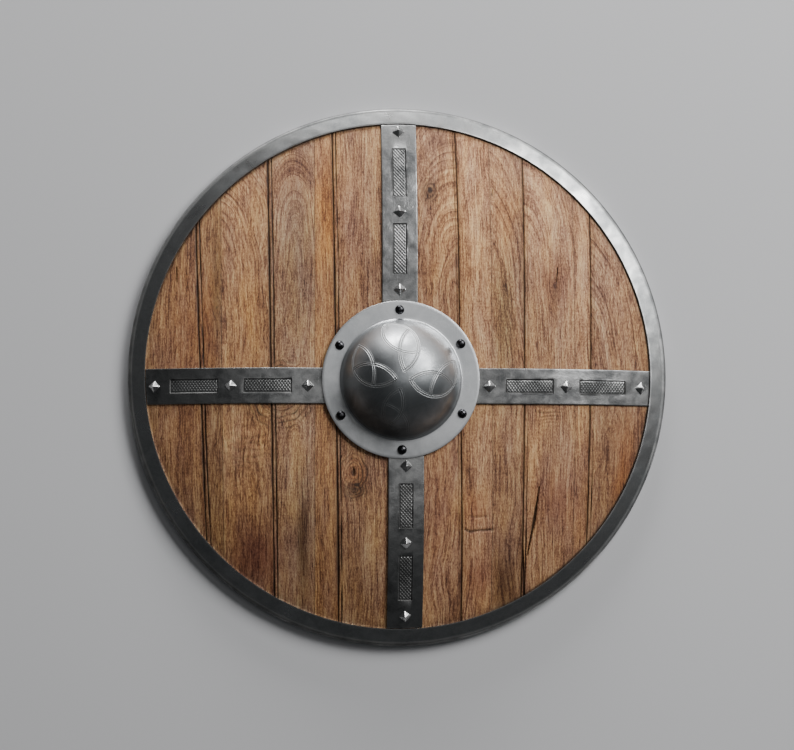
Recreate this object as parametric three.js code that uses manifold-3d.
// A round plank shield, lying face up: eight oak planks with a steel-bound edge, crossed by four
// iron bars with sunk panels and pyramid studs, and a hollow steel boss over the hand hole.
// Millimetres, +Z up and out of the face, +Y towards the shield's top as it is carried.
// The origin is on the surface it lies on, under the middle of the rim.

import * as THREE from 'three';
import { mergeVertices } from 'three/addons/utils/BufferGeometryUtils.js';
import Module from 'manifold-3d';

const wasm = await Module();
wasm.setup();

// Overall sizes
const shieldRadius = 305;
const crownRise = 40;
const seatRadius = 118;
const boardThickness = 9;
const clearance = 0.3;
const backClearance = 0.9;

// Edge binding, a steel channel folded over the planks' ends
const rimSheet = 2.5;
const rimFaceWidth = 19.7;
const rimBackWidth = 15;
const rimFoldRadius = 4;
const rimEdgeBreak = 0.8;
const restLandWidth = 6;

// Planks: the outer joints stand in from the board's edge and the inner ones clear the boss's
// rivets. Each joint then leans off that place, at the top and at the bottom of the board,
// by a share of a middle plank's width
const edgePlankWidth = 86;
const rivetJointInset = 6;
const jointLean = [
  { top: -0.224, bottom: 0.111 },
  { top: -0.067, bottom: 0.097 },
  { top: -0.068, bottom: 0.061 },
  { top: -0.164, bottom: -0.123 },
  { top: -0.121, bottom: -0.031 },
  { top: -0.067, bottom: -0.122 },
  { top: 0.002, bottom: -0.128 },
];
const jointGap = 0.4;
const plankStep = 28;
const plankColumn = 40;

// Boss
const bossX = 0;
const bossY = -8;
const bossSheet = 2;
const domeRadius = 67;
const domeHeight = 50;
const domeFillet = 2.5;
const flangeWidth = 21;
const handHoleSetIn = 7;
const bossRivetEdgeDistance = 10;
const bossRivetCount = 6;
const bossRivetTurn = 91;

// Bars: the way each runs from the boss, how far its axis lies beside the board's middle,
// how far its studs stand off the even spacing, from the boss outwards, and whether its
// inner stud holds an end of the grip
const barWidth = 40;
const barThickness = 2.2;
const barEndGap = 0.6;
const barLap = 17;
const barStep = 24;
const bars = [
  { name: 'top', angle: 90, axisX: -1, axisY: 0, studShift: [1, -2, 1.5], holdsGrip: false },
  { name: 'right', angle: 0, axisX: 0, axisY: -15, studShift: [-0.5, -1, -0.5], holdsGrip: true },
  { name: 'bottom', angle: -90, axisX: 6, axisY: 0, studShift: [-3.5, -1.5, -3.5], holdsGrip: false },
  { name: 'left', angle: 180, axisX: 0, axisY: -15, studShift: [4, 2, 0], holdsGrip: true },
];
const studPlaces = ['inner', 'middle', 'outer'];
const studMargin = 4.8;

// Sunk panels in the bars, one between each two studs, shifted a little from midway
const panelMargin = 9.4;
const panelShift = [2, -1];
const panelWidth = 16;
const panelDepth = 1.2;
const panelBevel = 1.2;

// Studs and rivets
const studDiagonal = 14;
const studHeight = 5.6;
const studRim = 0.7;
const studShankRadius = 2.4;
const rivetHeadRadius = 5.2;
const rivetHeadHeight = 4.2;
const rivetBrim = 0.6;
const rivetShankRadius = 2.2;
const tailRadius = 4.4;
const tailHeight = 1.8;

// Hand grip across the back of the hand hole
const gripEndReach = 10;
const gripEndThickness = 9;
const gripEndWidth = 33;
const gripHandThickness = 20;
const gripHandWidth = 27;
const gripHandHalfLength = 48;
const gripNeckLength = 20;
const gripFacets = 8;

// Facets round each turned piece, and steps over the dome's outside and inside
const edgeFacets = 60;
const bossFacets = 40;
const pyramidFacets = 4;
const headFacets = 8;
const shankFacets = 6;
const domeSteps = 7;
const domeInsideSteps = 5;

// What the sizes above work out to
const farOff = 2 * shieldRadius;
const boardRadius = shieldRadius - rimSheet - clearance;
const crownReach = boardRadius - seatRadius;
const rimInnerRadius = shieldRadius - rimFaceWidth;
const flangeRadius = domeRadius + flangeWidth;
const handHoleRadius = domeRadius - bossSheet - handHoleSetIn;
const bossRivetRing = flangeRadius - bossRivetEdgeDistance;
const studEdgeDistance = studDiagonal / 2 + studMargin;

function crown(radius) {
  const share = Math.max(0, (radius - seatRadius) / crownReach);
  return crownRise * (1 - share * share);
}

function crownFall(radius) {
  const share = Math.max(0, (radius - seatRadius) / crownReach);
  return (2 * crownRise * share) / crownReach;
}

const edgeFall = crownFall(boardRadius);
const rimSheetUpright = rimSheet * Math.hypot(1, edgeFall);
const restLandRadius = shieldRadius - restLandWidth;
const edgeHeight = backClearance + rimSheetUpright - crown(restLandRadius);

function backHeight(x, y) {
  return edgeHeight + crown(Math.hypot(x, y));
}

function frontHeight(x, y) {
  return backHeight(x, y) + boardThickness;
}

const seatBack = backHeight(0, 0);
const seatFront = frontHeight(0, 0);
const flangeBottom = seatFront + clearance + barThickness + clearance;
const flangeTop = flangeBottom + bossSheet;

// Solids: three.js geometry in, manifold for cutting and joining, geometry out

function toSolid(geometry) {
  const bare = geometry.clone();
  bare.deleteAttribute('normal');
  bare.deleteAttribute('uv');
  const merged = mergeVertices(bare, 1e-4);
  const positions = merged.attributes.position.array;
  const corners = Array.from(merged.index.array);
  const kept = [];
  for (let i = 0; i < corners.length; i += 3) {
    const [a, b, c] = corners.slice(i, i + 3);
    if (a !== b && b !== c && c !== a) kept.push(a, b, c);
  }
  if (signedVolume(positions, kept) < 0) kept.reverse();
  return new wasm.Manifold(new wasm.Mesh({
    numProp: 3,
    vertProperties: new Float32Array(positions),
    triVerts: new Uint32Array(kept),
  }));
}

function signedVolume(positions, corners) {
  const [a, b, c] = [new THREE.Vector3(), new THREE.Vector3(), new THREE.Vector3()];
  let sum = 0;
  for (let i = 0; i < corners.length; i += 3) {
    a.fromArray(positions, corners[i] * 3);
    b.fromArray(positions, corners[i + 1] * 3);
    c.fromArray(positions, corners[i + 2] * 3);
    sum += a.dot(b.cross(c)) / 6;
  }
  return sum;
}

function toGeometry(solid) {
  const mesh = solid.getMesh();
  const geometry = new THREE.BufferGeometry();
  geometry.setAttribute('position', new THREE.BufferAttribute(mesh.vertProperties, 3));
  geometry.setIndex(new THREE.BufferAttribute(mesh.triVerts, 1));
  const flat = geometry.toNonIndexed();
  flat.computeVertexNormals();
  return flat;
}

// A turned solid about +Z from [radius, height] points that close on the axis or on themselves
function turned(points, facets) {
  const profile = points.map(([radius, height]) => new THREE.Vector2(radius, height));
  return new THREE.LatheGeometry(profile, facets).rotateX(Math.PI / 2);
}

function turnedSolid(points, facets) {
  return toSolid(turned(points, facets));
}

// An upright round bar from one height to another, for holes and trimming
function uprightRound(radius, low, high, facets) {
  return turnedSolid([[0, low], [radius, low], [radius, high], [0, high]], facets);
}

// A closed slab over a grid in plan: corner(side, along, across) gives each grid point,
// with side 0 below and side 1 above, and along and across running from 0 to 1
function slab(alongSteps, acrossSteps, corner) {
  const row = acrossSteps + 1;
  const layer = row * (alongSteps + 1);
  const positions = [];
  for (const side of [0, 1]) {
    for (let i = 0; i <= alongSteps; i += 1) {
      for (let j = 0; j <= acrossSteps; j += 1) {
        positions.push(...corner(side, i / alongSteps, j / acrossSteps));
      }
    }
  }
  const corners = [];
  const quad = (a, b, c, d) => corners.push(a, b, c, a, c, d);
  for (let i = 0; i < alongSteps; i += 1) {
    for (let j = 0; j < acrossSteps; j += 1) {
      const a = i * row + j;
      quad(a, a + 1, a + row + 1, a + row);
      quad(layer + a, layer + a + row, layer + a + row + 1, layer + a + 1);
    }
    const near = i * row;
    quad(near, near + row, layer + near + row, layer + near);
    const far = near + acrossSteps;
    quad(far, layer + far, layer + far + row, far + row);
  }
  for (let j = 0; j < acrossSteps; j += 1) {
    quad(j, layer + j, layer + j + 1, j + 1);
    const end = alongSteps * row + j;
    quad(end, end + 1, layer + end + 1, layer + end);
  }
  const geometry = new THREE.BufferGeometry();
  geometry.setAttribute('position', new THREE.Float32BufferAttribute(positions, 3));
  geometry.setIndex(corners);
  return toSolid(geometry);
}

// A closed tube of flat rings, one ring for each section, capped at both ends
function loft(sections) {
  const count = sections[0].length;
  const positions = sections.flat(2);
  const corners = [];
  for (let s = 0; s < sections.length - 1; s += 1) {
    for (let k = 0; k < count; k += 1) {
      const a = s * count + k;
      const b = s * count + ((k + 1) % count);
      corners.push(a, b, b + count, a, b + count, a + count);
    }
  }
  const last = (sections.length - 1) * count;
  for (let k = 1; k < count - 1; k += 1) {
    corners.push(0, k + 1, k);
    corners.push(last, last + k, last + k + 1);
  }
  const geometry = new THREE.BufferGeometry();
  geometry.setAttribute('position', new THREE.Float32BufferAttribute(positions, 3));
  geometry.setIndex(corners);
  return toSolid(geometry);
}

function placed(solid, matrix) {
  return solid.transform(matrix.elements);
}

// Where things stand on the board

// The frame of a stud at a plan point: its Z is the board's normal, its X runs along the bar
function surfaceFrame(x, y, angle) {
  const radius = Math.hypot(x, y);
  const fall = crownFall(radius);
  const out = new THREE.Vector3(x, y, 0).normalize();
  const normal = new THREE.Vector3(out.x * fall, out.y * fall, 1).normalize();
  const bar = new THREE.Vector3(Math.cos(angle), Math.sin(angle), 0);
  const along = bar.addScaledVector(normal, -bar.dot(normal)).normalize();
  const across = new THREE.Vector3().crossVectors(normal, along);
  const frame = new THREE.Matrix4().makeBasis(along, across, normal);
  frame.setPosition(x, y, frontHeight(x, y));
  return { frame, tilt: normal.z };
}

// The plan point on a bar at a distance from the board's middle, and aside from the bar's axis
function onBar(bar, distance, aside) {
  const angle = THREE.MathUtils.degToRad(bar.angle);
  return [
    bar.axisX + distance * Math.cos(angle) - aside * Math.sin(angle),
    bar.axisY + distance * Math.sin(angle) + aside * Math.cos(angle),
  ];
}

// How far from the board's middle the flange's edge crosses a bar's axis
function flangeEdgeOn(bar) {
  const angle = THREE.MathUtils.degToRad(bar.angle);
  const [toBossX, toBossY] = [bossX - bar.axisX, bossY - bar.axisY];
  const ahead = toBossX * Math.cos(angle) + toBossY * Math.sin(angle);
  const beside = -toBossX * Math.sin(angle) + toBossY * Math.cos(angle);
  return ahead + Math.sqrt(flangeRadius ** 2 - beside ** 2);
}

function evenSpacing(bar) {
  const inner = flangeEdgeOn(bar) + studEdgeDistance;
  const outer = rimInnerRadius - studEdgeDistance;
  return { inner, pitch: (outer - inner) / 2 };
}

function studDistances(bar) {
  const { inner, pitch } = evenSpacing(bar);
  return bar.studShift.map((shift, i) => inner + i * pitch + shift);
}

const studs = bars.flatMap((bar) => studDistances(bar).map((distance, i) => {
  const [x, y] = onBar(bar, distance, 0);
  const holdsGrip = bar.holdsGrip && i === 0;
  return { name: `stud_${bar.name}_${studPlaces[i]}`, bar, x, y, holdsGrip };
}));

const bossRivets = Array.from({ length: bossRivetCount }, (_, i) => {
  const turn = THREE.MathUtils.degToRad(bossRivetTurn + (i * 360) / bossRivetCount);
  return {
    name: `boss_rivet_${i + 1}`,
    x: bossX + bossRivetRing * Math.cos(turn),
    y: bossY + bossRivetRing * Math.sin(turn),
  };
});

function studHole(stud) {
  const reach = 2 * (boardThickness + gripEndThickness);
  const { frame } = surfaceFrame(stud.x, stud.y, THREE.MathUtils.degToRad(stud.bar.angle));
  const hole = uprightRound(studShankRadius + clearance, -reach, reach, shankFacets);
  return placed(hole, frame);
}

function rivetHole(rivet) {
  const hole = uprightRound(rivetShankRadius + clearance, 0, farOff, headFacets);
  return hole.translate([rivet.x, rivet.y, 0]);
}

const studHoles = studs.map(studHole);
const rivetHoles = bossRivets.map(rivetHole);

// Planks

// The joint lines, with one on each side of the board
function jointLines() {
  const outer = shieldRadius - edgePlankWidth;
  const inner = bossRivetRing - rivetJointInset;
  const middle = (outer + inner) / 2;
  const places = [-outer, -middle, -inner, 0, inner, middle, outer];
  const plankWidth = outer - middle;
  const joints = places.map((place, i) => ({
    top: place + jointLean[i].top * plankWidth,
    bottom: place + jointLean[i].bottom * plankWidth,
  }));
  const [left, right] = [-shieldRadius, shieldRadius];
  return [{ top: left, bottom: left }, ...joints, { top: right, bottom: right }];
}

function jointX(joint, y) {
  return THREE.MathUtils.lerp(joint.bottom, joint.top, (y + shieldRadius) / (2 * shieldRadius));
}

// How far a plank's long edges reach along the board before the round edge ends them
function plankReach(left, right) {
  const nearest = left.top * right.top < 0 ? 0 : Math.min(
    ...[left.top, left.bottom, right.top, right.bottom].map(Math.abs),
  );
  return Math.sqrt(shieldRadius ** 2 - nearest ** 2);
}

function plankBlank(left, right) {
  const reach = plankReach(left, right);
  const steps = Math.ceil((2 * reach) / plankStep);
  const columns = Math.ceil((right.top - left.top) / plankColumn);
  return slab(steps, columns, (side, along, across) => {
    const y = THREE.MathUtils.lerp(reach, -reach, along);
    const from = jointX(left, y) + jointGap / 2;
    const to = jointX(right, y) - jointGap / 2;
    const x = THREE.MathUtils.lerp(from, to, across);
    return [x, y, side ? frontHeight(x, y) : backHeight(x, y)];
  });
}

function plankSolids() {
  const lines = jointLines();
  const roundEdge = uprightRound(boardRadius, -farOff, farOff, edgeFacets);
  const handHole = uprightRound(handHoleRadius, 0, farOff, bossFacets);
  const holes = wasm.Manifold.union([
    handHole.translate([bossX, bossY, 0]),
    ...studHoles,
    ...rivetHoles,
  ]);
  return lines.slice(0, -1).map((left, i) => (
    plankBlank(left, lines[i + 1]).intersect(roundEdge).subtract(holes)
  ));
}

// Edge binding: a channel with sloping legs, a folded outer edge and a flat land to rest on

function rimSolid() {
  const frontInner = (radius) => frontHeight(radius, 0) + clearance;
  const frontOuter = (radius) => frontInner(radius) + rimSheetUpright;
  const backInner = (radius) => backHeight(radius, 0) - backClearance;
  const backOuter = (radius) => backInner(radius) - rimSheetUpright;
  const webInner = shieldRadius - rimSheet;
  const backLip = shieldRadius - rimBackWidth;
  const foldStart = shieldRadius - rimFoldRadius;
  const foldHeight = frontOuter(foldStart);
  const foldDrop = rimFoldRadius * (1 + edgeFall);
  const fold = [0.5, 1].map((share) => {
    const turn = (share * Math.PI) / 2;
    return [
      foldStart + rimFoldRadius * Math.sin(turn),
      foldHeight - foldDrop * (1 - Math.cos(turn)) - edgeFall * share * (1 - share),
    ];
  });
  const profile = [
    [rimInnerRadius, frontInner(rimInnerRadius)],
    [rimInnerRadius, frontOuter(rimInnerRadius)],
    [foldStart, foldHeight],
    ...fold,
    [shieldRadius, rimEdgeBreak],
    [shieldRadius - rimEdgeBreak, 0],
    [restLandRadius, 0],
    [backLip, backOuter(backLip)],
    [backLip, backInner(backLip)],
    [webInner, backInner(webInner)],
    [webInner, frontInner(webInner)],
    [rimInnerRadius, frontInner(rimInnerRadius)],
  ];
  return turnedSolid(profile, edgeFacets);
}

// Bars

// A slab over part of a bar, between two heights above the board, wider above by its slope
function barSlab(bar, from, to, halfLow, slope, lowAbove, highAbove, columns) {
  const steps = Math.ceil((to - from) / barStep);
  return slab(steps, columns, (side, along, across) => {
    const spread = side ? slope * (highAbove - lowAbove) : 0;
    const distance = THREE.MathUtils.lerp(from - spread, to + spread, along);
    const aside = THREE.MathUtils.lerp(halfLow + spread, -halfLow - spread, across);
    const [x, y] = onBar(bar, distance, aside);
    return [x, y, frontHeight(x, y) + (side ? highAbove : lowAbove)];
  });
}

function panelCut(bar, middle) {
  const floor = clearance + barThickness - panelDepth;
  const above = clearance + 2 * barThickness;
  const slope = panelBevel / panelDepth;
  const half = panelWidth / 2 - panelBevel;
  const reach = (evenSpacing(bar).pitch - studDiagonal) / 2 - panelMargin - panelBevel;
  return barSlab(bar, middle - reach, middle + reach, half, slope, floor, above, 1);
}

function barSolid(bar) {
  const top = clearance + barThickness;
  const from = flangeEdgeOn(bar) - 2 * barLap;
  const whole = barSlab(bar, from, shieldRadius, barWidth / 2, 0, clearance, top, 2);
  const insideRim = uprightRound(rimInnerRadius - barEndGap, 0, farOff, edgeFacets);
  const underBoss = uprightRound(flangeRadius - barLap, 0, farOff, bossFacets);
  const distances = studDistances(bar);
  const panels = panelShift.map((shift, i) => (
    panelCut(bar, (distances[i] + distances[i + 1]) / 2 + shift)
  ));
  return whole
    .intersect(insideRim)
    .subtract(underBoss.translate([bossX, bossY, 0]))
    .subtract(wasm.Manifold.union([...panels, ...studHoles, ...rivetHoles]));
}

// Boss

function bossSolid() {
  const ballRadius = (domeRadius ** 2 + domeHeight ** 2) / (2 * domeHeight);
  const ballHeight = flangeTop + domeHeight - ballRadius;
  const onBall = (radius, height) => Math.sqrt(radius ** 2 - (height - ballHeight) ** 2);
  const filletTop = flangeTop + domeFillet;
  const filletFoot = onBall(ballRadius, filletTop) + domeFillet;
  const arc = (radius, lowest, steps) => {
    const widest = Math.acos((lowest - ballHeight) / radius);
    return Array.from({ length: steps + 1 }, (_, i) => {
      const turn = widest * (1 - i / steps);
      return [radius * Math.sin(turn), ballHeight + radius * Math.cos(turn)];
    });
  };
  const profile = [
    [flangeRadius, flangeBottom],
    [flangeRadius, flangeTop],
    [filletFoot, flangeTop],
    [filletFoot - domeFillet * 0.7, flangeTop + domeFillet * 0.3],
    ...arc(ballRadius, filletTop, domeSteps),
    ...arc(ballRadius - bossSheet, flangeBottom, domeInsideSteps).reverse(),
    [flangeRadius, flangeBottom],
  ];
  return turnedSolid(profile, bossFacets)
    .translate([bossX, bossY, 0])
    .subtract(wasm.Manifold.union(rivetHoles));
}

// Studs and rivets, each one solid from its head to its hammered tail

function tailProfile(top) {
  return [
    [0, top - tailHeight],
    [tailRadius * 0.7, top - tailHeight],
    [tailRadius, top],
  ];
}

function studSolid(stud) {
  const { frame, tilt } = surfaceFrame(stud.x, stud.y, THREE.MathUtils.degToRad(stud.bar.angle));
  const base = (clearance + barThickness) * tilt + clearance;
  const gripStack = stud.holdsGrip ? clearance + gripEndThickness : 0;
  const tailTop = -(boardThickness + gripStack) * tilt - backClearance;
  const brim = base + studRim;
  const corner = studDiagonal / 2;
  const pyramid = turnedSolid(
    [[0, base], [corner, base], [corner, brim], [0, base + studHeight]],
    pyramidFacets,
  );
  const shank = turnedSolid(
    [...tailProfile(tailTop), [studShankRadius, tailTop], [studShankRadius, brim], [0, brim]],
    shankFacets,
  );
  return placed(pyramid.add(shank), frame);
}

function bossRivetSolid(rivet) {
  const base = flangeTop + clearance;
  const tailTop = seatBack - clearance;
  const head = [1, 0.85, 0.5, 0].map((share) => [
    rivetHeadRadius * share,
    base + rivetBrim + (rivetHeadHeight - rivetBrim) * Math.sqrt(1 - share * share),
  ]);
  const profile = [
    ...tailProfile(tailTop),
    [rivetShankRadius, tailTop],
    [rivetShankRadius, base],
    [rivetHeadRadius, base],
    ...head,
  ];
  return turnedSolid(profile, headFacets).translate([rivet.x, rivet.y, 0]);
}

// Grip: flat ends under the inner studs of the side bars, and a rounder part for the hand

function gripSolid() {
  const [right, left] = studs.filter((stud) => stud.holdsGrip);
  const top = seatBack - clearance;
  const middleY = (left.y + right.y) / 2;
  const ends = [left.x - gripEndReach, right.x + gripEndReach];
  const neck = gripHandHalfLength + gripNeckLength;
  const half = [0, gripHandHalfLength / 2, gripHandHalfLength, neck - gripNeckLength / 2, neck];
  const mirrored = half.slice(1).map((x) => -x).reverse();
  const stations = [ends[0], ...mirrored, ...half, ends[1]];
  const sections = stations.map((x) => {
    const share = THREE.MathUtils.smoothstep(neck - Math.abs(x), 0, gripNeckLength);
    const halfWidth = THREE.MathUtils.lerp(gripEndWidth, gripHandWidth, share) / 2;
    const depth = THREE.MathUtils.lerp(gripEndThickness, gripHandThickness, share);
    const squareness = THREE.MathUtils.lerp(0.3, 0.75, share);
    return Array.from({ length: gripFacets + 1 }, (_, k) => {
      const turn = (k * Math.PI) / gripFacets;
      const reach = Math.sign(Math.cos(turn)) * Math.abs(Math.cos(turn)) ** squareness;
      return [x, middleY + halfWidth * reach, top - depth * Math.abs(Math.sin(turn)) ** squareness];
    });
  });
  return loft(sections).subtract(wasm.Manifold.union(studHoles));
}

// The whole shield

const finishes = {
  oak: new THREE.MeshStandardMaterial({ color: 0x8f6644, roughness: 0.7, metalness: 0 }),
  ash: new THREE.MeshStandardMaterial({ color: 0x7d5a3a, roughness: 0.65, metalness: 0 }),
  rimSteel: new THREE.MeshStandardMaterial({ color: 0x8c8c8a, roughness: 0.42, metalness: 0.9 }),
  barSteel: new THREE.MeshStandardMaterial({ color: 0x6b6b69, roughness: 0.5, metalness: 0.9 }),
  bossSteel: new THREE.MeshStandardMaterial({ color: 0x84848a, roughness: 0.34, metalness: 0.95 }),
  studSteel: new THREE.MeshStandardMaterial({ color: 0x7d7d7c, roughness: 0.36, metalness: 0.95 }),
  rivetIron: new THREE.MeshStandardMaterial({ color: 0x2a2a2a, roughness: 0.35, metalness: 0.8 }),
};

const shield = new THREE.Group();

function addPiece(name, solid, finish) {
  const mesh = new THREE.Mesh(toGeometry(solid), finish);
  mesh.name = name;
  shield.add(mesh);
}

plankSolids().forEach((solid, i) => addPiece(`plank_${i + 1}`, solid, finishes.oak));
addPiece('rim', rimSolid(), finishes.rimSteel);
bars.forEach((bar) => addPiece(`bar_${bar.name}`, barSolid(bar), finishes.barSteel));
studs.forEach((stud) => addPiece(stud.name, studSolid(stud), finishes.studSteel));
addPiece('boss', bossSolid(), finishes.bossSteel);
bossRivets.forEach((rivet) => addPiece(rivet.name, bossRivetSolid(rivet), finishes.rivetIron));
addPiece('grip', gripSolid(), finishes.ash);

export default shield;
